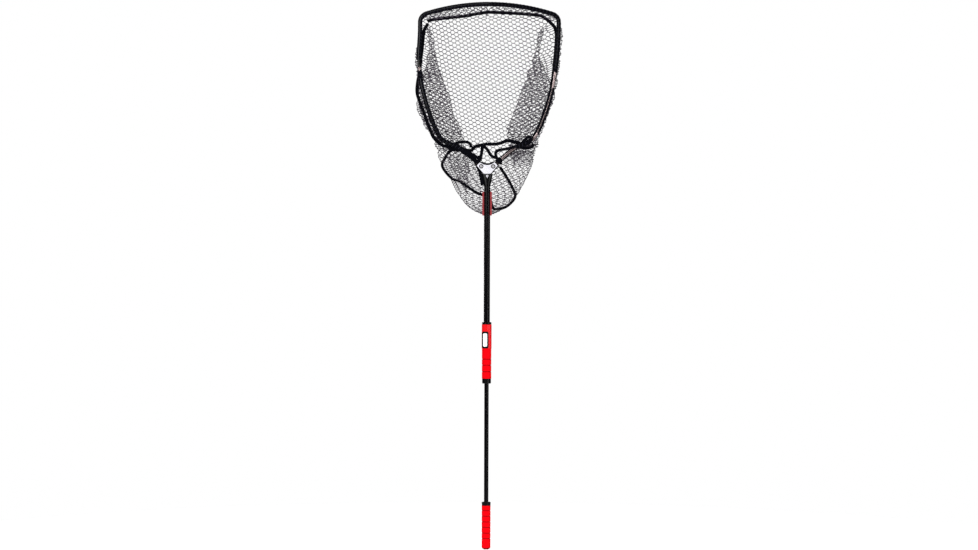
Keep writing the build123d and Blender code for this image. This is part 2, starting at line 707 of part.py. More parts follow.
pocket_hollow = pocket_body(NET_THICK)
with BuildPart() as net_pocket:
    add(pocket_body(0))
    add(pocket_hollow, mode=Mode.SUBTRACT)
    with BuildSketch(Plane.XZ):
        with BuildLine():
            Polyline(*POCKET_NOTCH, close=True)
        make_face()
    extrude(amount=-POCKET_Y, mode=Mode.SUBTRACT)
net_pocket.part.label = "net_pocket"
export_step(net_pocket.part, "parts/net_pocket.step")
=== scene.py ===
import json
import math

import bpy
import numpy as np
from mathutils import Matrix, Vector


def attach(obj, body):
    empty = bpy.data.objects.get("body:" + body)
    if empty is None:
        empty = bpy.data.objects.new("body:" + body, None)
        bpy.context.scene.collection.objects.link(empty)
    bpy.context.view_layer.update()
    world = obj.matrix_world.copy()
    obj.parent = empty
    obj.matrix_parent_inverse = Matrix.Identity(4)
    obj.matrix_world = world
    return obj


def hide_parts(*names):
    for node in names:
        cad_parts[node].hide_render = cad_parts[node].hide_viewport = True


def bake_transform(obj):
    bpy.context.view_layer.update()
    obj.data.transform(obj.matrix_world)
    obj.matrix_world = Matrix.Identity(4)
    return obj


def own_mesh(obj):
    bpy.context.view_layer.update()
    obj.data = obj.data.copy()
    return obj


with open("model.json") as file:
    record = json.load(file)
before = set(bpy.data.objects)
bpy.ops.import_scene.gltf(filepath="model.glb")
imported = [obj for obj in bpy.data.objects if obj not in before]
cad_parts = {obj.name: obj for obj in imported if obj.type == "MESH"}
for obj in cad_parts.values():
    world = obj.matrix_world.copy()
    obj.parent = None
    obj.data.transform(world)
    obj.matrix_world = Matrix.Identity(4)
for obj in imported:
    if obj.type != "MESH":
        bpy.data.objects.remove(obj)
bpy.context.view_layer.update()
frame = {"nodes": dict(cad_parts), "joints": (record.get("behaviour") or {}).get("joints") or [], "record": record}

# Folding landing net in metres: handle along Z, hoop in the XZ plane, bag on the +Y side.
ROOT = "upper_handle"
SIDES = {"left": -1, "right": 1}

# Hoop centre line, right half, as the CAD has it
PIVOT = tuple(next(j for j in frame["joints"] if j["name"] == "right_arm_fold")["pos_m"][::2])
HOOP_BENDS = ((0.098, 1.539), (0.178, 1.571), (0.2035, 1.622), (0.231, 1.697), (0.2525, 1.778))
LEG_BEND = (0.266, 1.880)
TOP_Z = 2.093
TOP_RADIUS = 0.810
CORNER_RADIUS = 0.034
SLEEVE_RADIUS = 0.0086
BOW_RADIUS = 0.006
LINING_RADIUS = 0.0064  # just outside the tube
COVER_RADIUS = 0.0077  # hem cloth pulled tight over a joint

# Mesh: cells wider than tall, with thick twisted strands across and thin ones slanting
PITCH = 0.0165  # from the middle of one cell to the one above
CELL_HALF = 0.0103  # half a cell's width
TWIST_HALF = 0.0040  # half the length of the strand across
TWIST_RADIUS = 0.0017
STRAND = 0.00102  # radius half way along a slanting strand
STRAND_GAIN = 0.13  # how much thicker the strands of the drawn-in folds are
STRAND_LOSS = 0.10  # how much thinner those of the pocket are
KNOT = 0.00130  # radius where it joins
KNOT_STRAY = 0.0016  # how far the knots of the folds are off their places
FOLDS_FROM = 0.28  # height of cloth above which the sides are folded
SLANT = 0.16  # how far the columns of cells lean
HEM_CELL = 0.8  # size of the cells in the hem, as a share of the bag's
HEM_DEPTH = 9  # how far behind the hoop's plane the hem's lower edge is, in mm
NET_BOTTOM = 1.286
NET_TOP = 2.0905
NOTCH_Z = 1.478  # where the bag's front edge meets the yoke
TAPE_WIDTH = 0.0128
TAPE_THICK = 0.0014
LACE_PITCH = 0.0135
LACE_RADIUS = 0.0009
SEAM_RADIUS = 0.0018
MESH_REACH = 0.20  # how far from the hoop the mesh follows an arm
BOW_LEAN = 0.007  # how far the free bow leans over to the right


# ------------------------------------------------------------------ curves


def along(start, end, distance):
    """The point at a distance from one point towards another."""
    start, end = np.array(start, float), np.array(end, float)
    return start + (end - start) * distance / np.linalg.norm(end - start)


def smooth(value):
    """0 to 1, easing in and out."""
    value = np.clip(value, 0, 1)
    return value * value * (3 - 2 * value)


def half_turn(before, here, after):
    """Half the angle that a route turns by at a point."""
    into, out = np.subtract(here, before), np.subtract(after, here)
    cosine = into @ out / np.linalg.norm(into) / np.linalg.norm(out)
    return math.acos(np.clip(cosine, -1, 1)) / 2


def bend_radius(before, here, after):
    """The widest comfortable bend radius at a point of a route."""
    run = min(math.dist(before, here), math.dist(here, after))
    return 0.45 * run / math.tan(half_turn(before, here, after))


def bend_arc(before, here, after, radius, steps=9):
    """Points of the arc that rounds one bend of a tube."""
    before, here, after = (np.array(p, float) for p in (before, here, after))
    half = half_turn(before, here, after)
    into = (here - before) / np.linalg.norm(here - before)
    out = (after - here) / np.linalg.norm(after - here)
    middle = (out - into) / np.linalg.norm(out - into)
    centre = here + middle * radius / math.cos(half)
    first = here - into * radius * math.tan(half) - centre
    turn = 2 * half * np.sign(into[0] * out[1] - into[1] * out[0])
    angles = np.linspace(0, turn, steps)
    cosines, sines = np.cos(angles), np.sin(angles)
    return centre + np.stack(
        [first[0] * cosines - first[1] * sines, first[0] * sines + first[1] * cosines], 1
    )


def resample(points, step):
    """The same line with points a step apart."""
    points = np.asarray(points, float)
    length = np.concatenate([[0], np.cumsum(np.linalg.norm(np.diff(points, axis=0), axis=1))])
    count = max(2, int(round(length[-1] / step)) + 1)
    at = np.linspace(0, length[-1], count)
    return np.stack([np.interp(at, length, column) for column in points.T], 1)


def through(points, step=0.004):
    """Smooth line through given points (Catmull-Rom)."""
    p = np.asarray(points, float)
    p = np.vstack([2 * p[0] - p[1], p, 2 * p[-1] - p[-2]])
    t = np.linspace(0, 1, 12, endpoint=False)[:, None]
    spans = []
    for a, b, c, d in zip(p, p[1:], p[2:], p[3:]):
        square, cube = 2 * a - 5 * b + 4 * c - d, 3 * b - a - 3 * c + d
        spans.append(0.5 * (2 * b + (c - a) * t + square * t**2 + cube * t**3))
    return resample(np.vstack(spans + [p[-2:-1]]), step)


def hoop_line(start, step=0.003):
    """Right half of the hoop's centre line, (x, z), from a point on the arm to the top middle."""
    joint = (np.array(HOOP_BENDS[-1]) + LEG_BEND) / 2
    corner_x = LEG_BEND[0] - CORNER_RADIUS
    arch_z = TOP_Z - TOP_RADIUS
    corner_z = arch_z + math.sqrt((TOP_RADIUS - CORNER_RADIUS) ** 2 - corner_x**2)
    route = [along(PIVOT, HOOP_BENDS[0], 0.032), *HOOP_BENDS, joint]
    points = [np.array([start])]
    for before, here, after in zip(route, route[1:], route[2:]):
        points.append(bend_arc(before, here, after, bend_radius(before, here, after)))
    leg_top = (LEG_BEND[0], corner_z)
    points.append(bend_arc(joint, LEG_BEND, leg_top, bend_radius(joint, LEG_BEND, leg_top)))
    reach = math.asin(corner_x / (TOP_RADIUS - CORNER_RADIUS))
    turn = np.linspace(0, math.pi / 2 - reach, 12)
    corner = [corner_x + CORNER_RADIUS * np.cos(turn), corner_z + CORNER_RADIUS * np.sin(turn)]
    points.append(np.stack(corner, 1))
    arch = np.linspace(reach, 0, 50)[1:]
    points.append(np.stack([TOP_RADIUS * np.sin(arch), arch_z + TOP_RADIUS * np.cos(arch)], 1))
    return resample(np.vstack(points), step)


HOOP = hoop_line(along(PIVOT, HOOP_BENDS[0], 0.030))
JOINT_Z = (HOOP_BENDS[-1][1] + LEG_BEND[1]) / 2


def lean(z):
    """The sideways lean of the springy bow above the joints."""
    return BOW_LEAN * smooth((np.asarray(z) - JOINT_Z - 0.02) / 0.16)


def hoop_between(low, high=math.inf):
    """The stretch of the hoop's right half between two heights."""
    return HOOP[(HOOP[:, 1] >= low) & (HOOP[:, 1] <= high)]


def in_space(line, side=1, y=0.0):
    """A line of (x, z) points as (x, y, z) points on one side of the hoop."""
    return np.stack([line[:, 0] * side + lean(line[:, 1]), np.full(len(line), y), line[:, 1]], 1)


# ------------------------------------------------------------------ meshes


def frames(centre, facing):
    """Unit tangent, across and facing vectors at each point of a line."""
    tangent = np.gradient(centre, axis=0)
    tangent /= np.linalg.norm(tangent, axis=1)[:, None]
    facing = facing - (facing * tangent).sum(1)[:, None] * tangent
    facing /= np.linalg.norm(facing, axis=1)[:, None]
    return tangent, np.cross(tangent, facing), facing


def front_frames(centre):
    """Frames of a line that face the open side of the hoop."""
    return frames(centre, np.tile([0.0, -1.0, 0.0], (len(centre), 1)))


def add(name, data):
    """A new object with its data in the scene."""
    obj = bpy.data.objects.new(name, data)
    bpy.context.scene.collection.objects.link(obj)
    return obj


def skin(name, rings, lengths, arounds, material):
    """Closed tube of quads through rings of points, with a UV map in metres."""
    count, sides = rings.shape[:2]
    faces, uvs = [], []
    for i in range(count - 1):
        for j in range(sides):
            k = (j + 1) % sides
            faces.append((i * sides + j, i * sides + k, (i + 1) * sides + k, (i + 1) * sides + j))
            near, far = arounds[j], arounds[j + 1]
            here, there = lengths[i], lengths[i + 1]
            uvs += [(here, near), (here, far), (there, far), (there, near)]
    for ring, order in ((0, range(sides - 1, -1, -1)), (count - 1, range(sides))):
        faces.append(tuple(ring * sides + j for j in order))
        uvs += [(lengths[ring], arounds[j]) for j in order]
    mesh = bpy.data.meshes.new(name)
    mesh.from_pydata(rings.reshape(-1, 3).tolist(), [], faces)
    layer = mesh.uv_layers.new(name="cloth")
    layer.data.foreach_set("uv", np.array(uvs, np.float32).ravel())
    mesh.polygons.foreach_set("use_smooth", np.ones(len(faces), bool))
    mesh.materials.append(material)
    return add(name, mesh)


def line_lengths(centre):
    """Distance along a line to each of its points."""
    return np.concatenate([[0], np.cumsum(np.linalg.norm(np.diff(centre, axis=0), axis=1))])


def tube(name, centre, radius, material, sides=14, swell=0.0, swell_pitch=LACE_PITCH):
    """Round tube along a line; swell makes it bulge between the turns of its lacing."""
    _, across, facing = front_frames(centre)
    lengths = line_lengths(centre)
    radii = radius * (1 + swell * np.cos(lengths * 2 * math.pi / swell_pitch))
    angles = np.arange(sides) * 2 * math.pi / sides
    rings = centre[:, None] + radii[:, None, None] * (
        np.cos(angles)[None, :, None] * across[:, None] + np.sin(angles)[None, :, None] * facing[:, None]
    )
    arounds = np.arange(sides + 1) * 2 * math.pi / sides * radius
    return skin(name, rings, lengths, arounds, material)


def ribbon(name, centre, material, width=TAPE_WIDTH, thick=TAPE_THICK):
    """Flat woven tape along a line, with rounded selvedges."""
    _, across, outward = front_frames(centre)
    half, soft = width / 2, thick * 0.7
    profile = np.array(
        [
            (-half, 0),
            (-half + soft * 0.4, thick * 0.4),
            (-half + soft, thick / 2),
            (half - soft, thick / 2),
            (half - soft * 0.4, thick * 0.4),
            (half, 0),
            (half - soft, -thick / 2),
            (-half + soft, -thick / 2),
        ]
    )
    rings = centre[:, None] + profile[None, :, :1] * across[:, None]
    rings = rings + profile[None, :, 1:] * outward[:, None]
    arounds = [*profile[:, 0], -half]
    return skin(name, rings, line_lengths(centre), arounds, material)


def open_wrap(name, centre, side, material, opening, radius=SLEEVE_RADIUS, wall=0.0011):
    """Hem cloth round a tube, open between two angles at its front, where the lacing closes it."""
    _, across, facing = front_frames(centre)
    lengths = line_lengths(centre)
    ripple = 1 + 0.03 * np.cos(lengths * 2 * math.pi / LACE_PITCH)
    steps = 20
    angles = np.radians(np.linspace(opening[1], opening[0] + 360, steps))
    angles = np.concatenate([angles, angles[::-1]])
    reach = np.concatenate([np.full(steps, radius), np.full(steps, radius - wall)])
    reach = reach[None] * ripple[:, None]
    outward = np.cos(angles)[None, :, None] * across[:, None] * side
    rings = centre[:, None] + reach[:, :, None] * (
        outward + np.sin(angles)[None, :, None] * facing[:, None]
    )
    if side < 0:
        rings = rings[:, ::-1]
    arounds = np.concatenate([[0], np.cumsum(np.abs(np.diff(angles)) * radius + 1e-4), [0]])
    return skin(name, rings, lengths, arounds, material)


def beside(centre, side, angle, distance):
    """A line that runs beside another, at an angle round it from its outer side to its front."""
    _, across, facing = front_frames(centre)
    turn = math.radians(angle)
    return centre + distance * (math.cos(turn) * side * across + math.sin(turn) * facing)


def helix(centre, radius, pitch, per_turn=10):
    """A lacing cord's line, wound round another line."""
    fine = resample(centre, pitch / per_turn)
    _, across, facing = front_frames(fine)
    turn = line_lengths(fine) / pitch * 2 * math.pi
    return fine + radius * (np.cos(turn)[:, None] * across + np.sin(turn)[:, None] * facing)


def strands(name, starts, ends, across_cell, material, scale=1.0, sides=5):
    """Every strand of the mesh as a short tube, thicker where strands join."""
    along_strand = ends - starts
    length = np.linalg.norm(along_strand, axis=1)
    tangent = along_strand / length[:, None]
    helper = np.where(np.abs(tangent[:, 1:2]) < 0.8, [[0.0, 1.0, 0.0]], [[1.0, 0.0, 0.0]])
    across = np.cross(tangent, helper)
    across /= np.linalg.norm(across, axis=1)[:, None]
    other = np.cross(tangent, across)
    angles = np.arange(sides) * 2 * math.pi / sides
    circle = np.cos(angles)[None, :, None] * across[:, None]
    circle = circle + np.sin(angles)[None, :, None] * other[:, None]
    rings = []
    for share, thick, thin in (
        (-0.04, TWIST_RADIUS * 0.92, KNOT),
        (0.5, TWIST_RADIUS, STRAND),
        (1.04, TWIST_RADIUS * 0.92, KNOT),
    ):
        radius = np.where(across_cell, thick, thin) * scale
        rings.append((starts + along_strand * share)[:, None] + radius[:, None, None] * circle)
    points = np.stack(rings, 1).reshape(-1, 3)
    j = np.arange(sides)
    k = (j + 1) % sides
    band = np.stack([j, k, sides + k, sides + j], 1)
    quads = np.concatenate([band, band + sides])
    faces = (np.arange(len(starts))[:, None, None] * 3 * sides + quads[None]).reshape(-1, 4)
    mesh = bpy.data.meshes.new(name)
    mesh.from_pydata(points.tolist(), [], faces.tolist())
    mesh.polygons.foreach_set("use_smooth", np.ones(len(faces), bool))
    mesh.materials.append(material)
    return add(name, mesh)


# ------------------------------------------------------------------ materials


class Shader:
    """A material's node tree, built with short calls."""

    def __init__(self, name, colour, roughness, metallic=0.0, coat=0.0, specular=0.5):
        self.material = bpy.data.materials.new(name)
        self.material.use_nodes = True
        self.tree = self.material.node_tree
        self.surface = self.tree.nodes["Principled BSDF"]
        self.set("Base Color", (*colour, 1))
        self.set("Roughness", roughness)
        self.set("Metallic", metallic)
        self.set("Coat Weight", coat)
        self.set("Specular IOR Level", specular)

    def set(self, socket, value):
        self.surface.inputs[socket].default_value = value

    def node(self, kind, inputs=None, **settings):
        made = self.tree.nodes.new(kind)
        for key, value in settings.items():
            setattr(made, key, value)
        for key, value in (inputs or {}).items():
            if isinstance(value, bpy.types.NodeSocket):
                self.tree.links.new(value, made.inputs[key])
            else:
                made.inputs[key].default_value = value
        return made

    def place(self, stretch=(1, 1, 1), uv=False):
        """Object or cloth coordinates, stretched."""
        source = self.node("ShaderNodeTexCoord").outputs["UV" if uv else "Object"]
        return self.node("ShaderNodeMapping", {"Vector": source, "Scale": stretch}).outputs["Vector"]

    def noise(self, scale, stretch=(1, 1, 1), detail=3.0):
        inputs = {"Vector": self.place(stretch), "Scale": scale, "Detail": detail}
        return self.node("ShaderNodeTexNoise", inputs).outputs["Fac"]

    def vary(self, socket, factor, low, high, start=0.3, end=0.7):
        """A shader input that runs between two values with a factor."""
        inputs = {"Value": factor, "From Min": start, "From Max": end, "To Min": low, "To Max": high}
        span = self.node("ShaderNodeMapRange", inputs)
        self.tree.links.new(span.outputs["Result"], self.surface.inputs[socket])

    def tint(self, factor, low, high, start=0.3, end=0.7):
        """The base colour runs between two colours with a factor."""
        share = self.node("ShaderNodeMapRange", {"Value": factor, "From Min": start, "From Max": end})
        mix = self.node("ShaderNodeMix", data_type="RGBA")
        self.tree.links.new(share.outputs["Result"], mix.inputs["Factor"])
        mix.inputs["A"].default_value = (*low, 1)
        mix.inputs["B"].default_value = (*high, 1)
        self.tree.links.new(mix.outputs["Result"], self.surface.inputs["Base Color"])

    def bump(self, height, distance, strength=1.0):
        inputs = {"Height": height, "Distance": distance, "Strength": strength}
        normal = self.node("ShaderNodeBump", inputs).outputs["Normal"]
        self.tree.links.new(normal, self.surface.inputs["Normal"])


def tube_radius(shader):
    """Distance from the handle's axis."""
    parts = shader.node("ShaderNodeSeparateXYZ", {"Vector": shader.place()})
    joined = shader.node("ShaderNodeCombineXYZ", {"X": parts.outputs["X"], "Y": parts.outputs["Y"]})
    length = shader.node("ShaderNodeVectorMath", {0: joined.outputs["Vector"]}, operation="LENGTH")
    return length.outputs["Value"]


def rubber(name, colour, groove_shade_colour, groove_radius):
    """Moulded grip rubber: fine pebble, with painted shade that makes it darker and duller down in the grooves."""
    shader = Shader(name, colour, 0.6, specular=0.03)
    shader.tint(tube_radius(shader), groove_shade_colour, colour, groove_radius - 0.0008, groove_radius)
    shader.vary("Roughness", shader.noise(90.0), 0.5, 0.68)
    cells = shader.node("ShaderNodeTexVoronoi", {"Vector": shader.place(), "Scale": 1300.0})
    shader.bump(cells.outputs["Distance"], 0.0002, 0.5)
    return shader.material


def plastic(name, colour, worn, roughness, coat=0.0, specular=0.4):
    """Moulded plastic: a faint texture and slightly uneven gloss and colour."""
    shader = Shader(name, colour, roughness, coat=coat, specular=specular)
    shader.tint(shader.noise(35.0), colour, worn)
    shader.vary("Roughness", shader.noise(160.0), roughness * 0.85, roughness * 1.2)
    shader.bump(shader.noise(2200.0, detail=1.0), 0.00006, 0.35)
    return shader.material


def drawn_metal(name, colour, worn, roughness, metallic, stretch, specular=0.5):
    """Metal with fine lines along the way it was drawn or brushed."""
    shader = Shader(name, colour, roughness, metallic=metallic, specular=specular)
    lines = shader.noise(1500.0, stretch)
    shader.tint(shader.noise(25.0), colour, worn)
    shader.vary("Roughness", lines, roughness * 0.8, roughness * 1.3)
    shader.bump(lines, 0.00003, 0.4)
    return shader.material


def woven(name, colour, light, across=0.0021, along_tape=0.0012):
    """Woven tape or sleeve in cloth coordinates: staggered yarns with a dull sheen."""
    shader = Shader(name, colour, 0.8, specular=0.025)
    yarns = shader.node(
        "ShaderNodeTexBrick",
        {
            "Vector": shader.place(uv=True),
            "Scale": 1.0,
            "Brick Width": across,
            "Row Height": along_tape,
            "Mortar Size": along_tape * 0.12,
            "Mortar Smooth": 1.0,
        },
    )
    shader.tint(shader.noise(700.0), colour, light)
    shader.vary("Roughness", shader.noise(120.0), 0.7, 0.92)
    shader.set("Sheen Weight", 0.008)
    shader.set("Sheen Roughness", 0.4)
    invert = shader.node("ShaderNodeMath", {0: 1.0, 1: yarns.outputs["Fac"]}, operation="SUBTRACT")
    shader.bump(invert.outputs["Value"], 0.00025, 0.8)
    return shader.material


def coated_strand(name, colour, light):
    """Rubber-coated mesh strand: soft gloss that comes and goes along it."""
    shader = Shader(name, colour, 0.5, specular=0.2)
    shader.tint(shader.noise(60.0), colour, light)
    shader.vary("Roughness", shader.noise(300.0), 0.4, 0.65)
    shader.bump(shader.noise(1800.0, detail=2.0), 0.00008, 0.4)
    return shader.material


BLACK, BLACK_WORN = (0.0008, 0.0008, 0.001), (0.0016, 0.0016, 0.002)
# The second red is painted shade: the grips' own red, darkened for the grooves
RED, GROOVE_SHADE_RED = (0.68, 0.0001, 0.0034), (0.20, 0.0001, 0.001)

# The record's slots
MATERIALS = {
    "black_anodised": drawn_metal(
        "black_anodised",
        (0.0008, 0.0007, 0.001),
        (0.0016, 0.0014, 0.002),
        roughness=0.17,
        metallic=0.0,
        stretch=(1, 1, 0.02),
        specular=0.09,
    ),
    "bronze_anodised": drawn_metal(
        "bronze_anodised", (0.17, 0.135, 0.135), (0.25, 0.20, 0.197), 0.22, 1.0, (1, 1, 0.05)
    ),
    "bright_plate": drawn_metal(
        "bright_plate", (0.66, 0.65, 0.70), (0.74, 0.73, 0.785), 0.42, 0.35, (0.03, 1, 1)
    ),
    "steel": drawn_metal("steel", (0.11, 0.105, 0.11), (0.17, 0.165, 0.17), 0.4, 0.9, (0.2, 1, 0.2)),
    "rivet_steel": drawn_metal(
        "rivet_steel", (0.50, 0.49, 0.51), (0.62, 0.61, 0.63), 0.36, 0.7, (0.2, 1, 0.2)
    ),
    "spring_steel": drawn_metal(
        "spring_steel", (0.4, 0.4, 0.42), (0.5, 0.5, 0.52), 0.3, 1.0, (0.2, 1, 0.2)
    ),
    "red_rubber": rubber("red_rubber", RED, GROOVE_SHADE_RED, 0.01685),
    "red_plastic": plastic("red_plastic", (0.68, 0.0002, 0.004), (0.62, 0.0002, 0.004), 0.3, 0.06, 0.12),
    "black_plastic": plastic("black_plastic", BLACK, BLACK_WORN, 0.3, specular=0.1),
    "white_plastic": plastic("white_plastic", (0.88, 0.88, 0.88), (0.83, 0.83, 0.835), 0.28, 0.3),
    "nylon": plastic("nylon", (0.68, 0.67, 0.61), (0.6, 0.59, 0.53), 0.5),
    "bow_coating": plastic("bow_coating", BLACK, BLACK_WORN, 0.2, specular=0.2),
    "woven_black": woven("woven_black", (0.0008, 0.0008, 0.0016), (0.0028, 0.0028, 0.005)),
    "mesh_charcoal": coated_strand("mesh_charcoal", (0.026, 0.021, 0.029), (0.066, 0.056, 0.074)),
}
# Variants within a slot
# The rear clip's red is painted shade: the red plastic darkened for the shadow it sits in behind the tube
SHADED_CLIP_RED = plastic("red_plastic_clip_painted_shade", (0.20, 0.022, 0.026), (0.27, 0.045, 0.05), 0.3, 0.06, 0.12)
LACING_CORD = woven("lacing_cord", (0.012, 0.012, 0.019), (0.03, 0.03, 0.042))
MID_GRIP_RUBBER = rubber("red_rubber_mid", RED, GROOVE_SHADE_RED, 0.0176)


def make_spring():
    """The button's spring, as a piece of its own that rides on the handle."""
    source = frame["nodes"]["button_spring"]
    mesh = source.data.copy()
    mesh.transform(source.matrix_world)
    mesh.materials.clear()
    mesh.materials.append(MATERIALS["spring_steel"])
    spring = add("lock_spring", mesh)
    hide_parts("button_spring")
    ride(spring, ROOT)
    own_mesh(spring)


def dress_cad_nodes():
    """Give every CAD node the material of its slot in the record."""
    for part in frame["record"]["subparts"]:
        mesh = frame["nodes"][part["node"]].data
        mesh.materials.clear()
        mesh.materials.append(MATERIALS[part["material_slot"]])
    frame["nodes"]["mid_grip_sleeve"].data.materials[0] = MID_GRIP_RUBBER
    # The rear clip takes the red plastic darkened with painted shade
    frame["nodes"]["rear_clip"].data.materials[0] = SHADED_CLIP_RED


# ------------------------------------------------------------------ how far soft pieces would follow the arms

BOW_END = (HOOP[np.searchsorted(HOOP[:, 1], JOINT_Z), 0], JOINT_Z)
BOW_STIFFNESS = 1.25  # above 1, the bow bends mostly over its top


def arm_share(points, reach=None):
    """How far each point follows its arm: all the way on the arm itself, less along the bow, and
    less and less over the mesh within reach of the hoop."""
    x, z = np.abs(points[:, 0]), points[:, 2]
    step = np.array([BOW_END[0], BOW_END[1] - TOP_Z])
    share = smooth(BOW_STIFFNESS * (x * step[0] + (z - TOP_Z) * step[1]) / (step @ step))
    if reach:
        rim = HOOP[::3]
        away = np.sqrt(((x[:, None] - rim[:, 0]) ** 2 + (z[:, None] - rim[:, 1]) ** 2).min(1))
        share = share * smooth(1 - away / reach) * smooth(x / 0.035)
    return share


def follow(obj, reach=None):
    """Bakes the piece's transform and works out how far each point would follow its arm; the shares are not used.
    """
    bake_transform(obj)
    count = len(obj.data.vertices)
    points = np.empty(count * 3)
    obj.data.vertices.foreach_get("co", points)
    shares = np.empty(count)
    batch = 20000
    for first in range(0, count, batch):
        last = min(first + batch, count)
        shares[first:last] = arm_share(points.reshape(-1, 3)[first:last], reach)


def ride(obj, body):
    """The piece moves with one body."""
    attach(obj, body)


# ------------------------------------------------------------------ the bag's surface

# The bag's half sections run from the middle of the back, through the folds of its slack side, to
# the rim or the front seam. All in mm.
# Pocket: height, depth of the back, then (x, y) of the widest point and three points of the front
POCKET = (
    (1286, 90, (12, 84), (9, 81), (6, 79), (0, 78)),
    (1294, 104, (38, 84), (31, 77), (22, 71), (0, 65)),
    (1310, 118, (69, 84), (58, 68), (40, 56), (0, 47)),
    (1350, 133, (107, 84), (94, 58), (66, 38), (0, 27)),
    (1400, 143, (137, 84), (122, 52), (84, 30), (0, 20)),
    (1440, 147, (157, 84), (140, 48), (100, 26), (0, 18)),
    (1474, 149, (172, 80), (158, 44), (118, 24), (0, 15)),
    (1510, 150, (182, 76), (170, 45), (140, 26), (66, 9)),
    (1540, 150, (188, 70), (180, 46), (150, 24), (100, 7)),
    (1571, 148, (197, 64), (193, 44), (184, 24), (176, 6)),
)
POCKET_MIDDLE = 84
PINCH = {"left": (0.925, 1.0), "right": (1.0, 0.965)}  # of the widest point, low and high
# Fold line, outer fold and inner fold at each of those heights
POCKET_FOLDS = {
    "left": (
        (4, 7, 10), (13, 23, 31), (25, 42, 56), (40, 66, 70), (48, 98, 76), (50, 124, 70),
        (52, 142, 66), (56, 160, 70), (63, 174, 78), (74, 195, 92),
    ),
    "right": (
        (4, 7, 10), (13, 23, 31), (25, 42, 56), (38, 64, 86), (46, 78, 106), (50, 88, 120),
        (54, 104, 112), (54, 130, 92), (55, 158, 82), (60, 187, 84),
    ),
}
# Above the pocket: height, fold line, outer fold
FOLDS = {
    "left": (
        (1610, 93, 230), (1650, 111, 250), (1690, 127, 268), (1740, 142, 274), (1785, 158, 273),
        (1830, 174, 254), (1870, 187, 235), (1930, 205, 229), (2000, 224, 231),
    ),
    "right": (
        (1610, 64, 212), (1650, 80, 230), (1690, 96, 244), (1740, 121, 256), (1785, 138, 250),
        (1830, 154, 230), (1870, 168, 209), (1930, 183, 200), (2000, 200, 208),
    ),
}
FOLD_DEPTHS = (1, 1, 1, 0.9, 0.76, 0.62, 0.5)  # of each point, as shares of the back's depth
INNER_FOLD = 0.04  # how far the inner fold is from the fold line to the outer one
# How far the mesh hangs over outside the hoop: height, overhang
OVERHANG = {
    "left": (
        (1.59, 0.017), (1.62, 0.022), (1.70, 0.021), (1.74, 0.018), (1.79, 0.012), (1.95, 0.010),
        (2.01, 0),
    ),
    "right": (
        (1.60, 0.002), (1.66, 0.0105), (1.80, 0.0112), (1.88, 0.0112), (1.94, 0.0118),
        (2.0, 0.0112),
    ),
}
# Near the top the bag is one flat layer: heights, and shares of the way out to the rim
TOP_LEVELS = (2.035, 2.055, 2.067, 2.077, 2.085, 2.0905)
TOP_SHARES = (0, 0.3, 0.6, 0.74, 0.82, 0.86, 0.90, 0.93, 0.96, 0.98, 1)
CREASES = {"left": (9, 0.0036, 0.4), "right": (10, 0.0036, 1.7)}  # number, depth, phase


def rim_x(z):
    """The hoop's half width at a height, closing to nothing at the yoke."""
    heights = np.concatenate([[NOTCH_Z], HOOP[:, 1]])
    widths = np.concatenate([[0], HOOP[:, 0]])
    return np.interp(z, heights, widths, left=0)


def hermite(at, knots, values):
    """Smooth curve through values at uneven knots."""
    slopes = np.gradient(values, knots, axis=0)
    i = np.clip(np.searchsorted(knots, at) - 1, 0, len(knots) - 2)
    width = knots[i + 1] - knots[i]
    t = (at - knots[i]) / width
    return (
        (2 * t**3 - 3 * t**2 + 1) * values[i]
        + (t**3 - 2 * t**2 + t) * width * slopes[i]
        + (3 * t**2 - 2 * t**3) * values[i + 1]
        + (t**3 - t**2) * width * slopes[i + 1]
    )


def back_depth(z):
    """Depth of the bag's back behind the hoop, above the pocket."""
    return 0.016 + (2.040 - z) * 0.285


def pocket_section(level, folds, side):
    """Half section of the pocket, with the fold in its back."""
    height, back, (width, depth), *front = level
    widest = (width * np.interp(height, (1440, 1510), PINCH[side]), depth)
    widths = np.array([0, folds[0] / 2, folds[0], (folds[0] + folds[1]) / 2, folds[1]])
    widths = np.append(widths, [(folds[1] + folds[2]) / 2, folds[2]])
    round_off = np.sqrt(np.clip(1 - (widths / widest[0]) ** 2, 0, 1))
    depths = POCKET_MIDDLE + (back - POCKET_MIDDLE) * round_off
    folded = 1 if folds[2] < folds[1] else 0
    depths = depths - folded * np.array([0, 0, 0, 2, 4, 10, 16])
    return [*zip(widths / 1000, depths / 1000), *((x / 1000, y / 1000) for x, y in (widest, *front))]


def folded_section(z, fold, outer, overhang):
    """Half section through the folded side wall, ending at the rim."""
    inner = fold + INNER_FOLD * (outer - fold)
    widths = (0, fold / 2, fold, (fold + outer) / 2, outer, (outer + inner) / 2, inner)
    rim, back = rim_x(z), back_depth(z)
    points = [(x, share * back) for x, share in zip(widths, FOLD_DEPTHS)]
    for share in (0.33, 0.66):
        points.append((inner + (rim - inner) * share, 0.5 * back * (1 - share) + 0.016 * share))
    return points + [(rim - 0.012 + 2.2 * overhang, 0.012 + 0.5 * overhang), (rim, 0.006)]


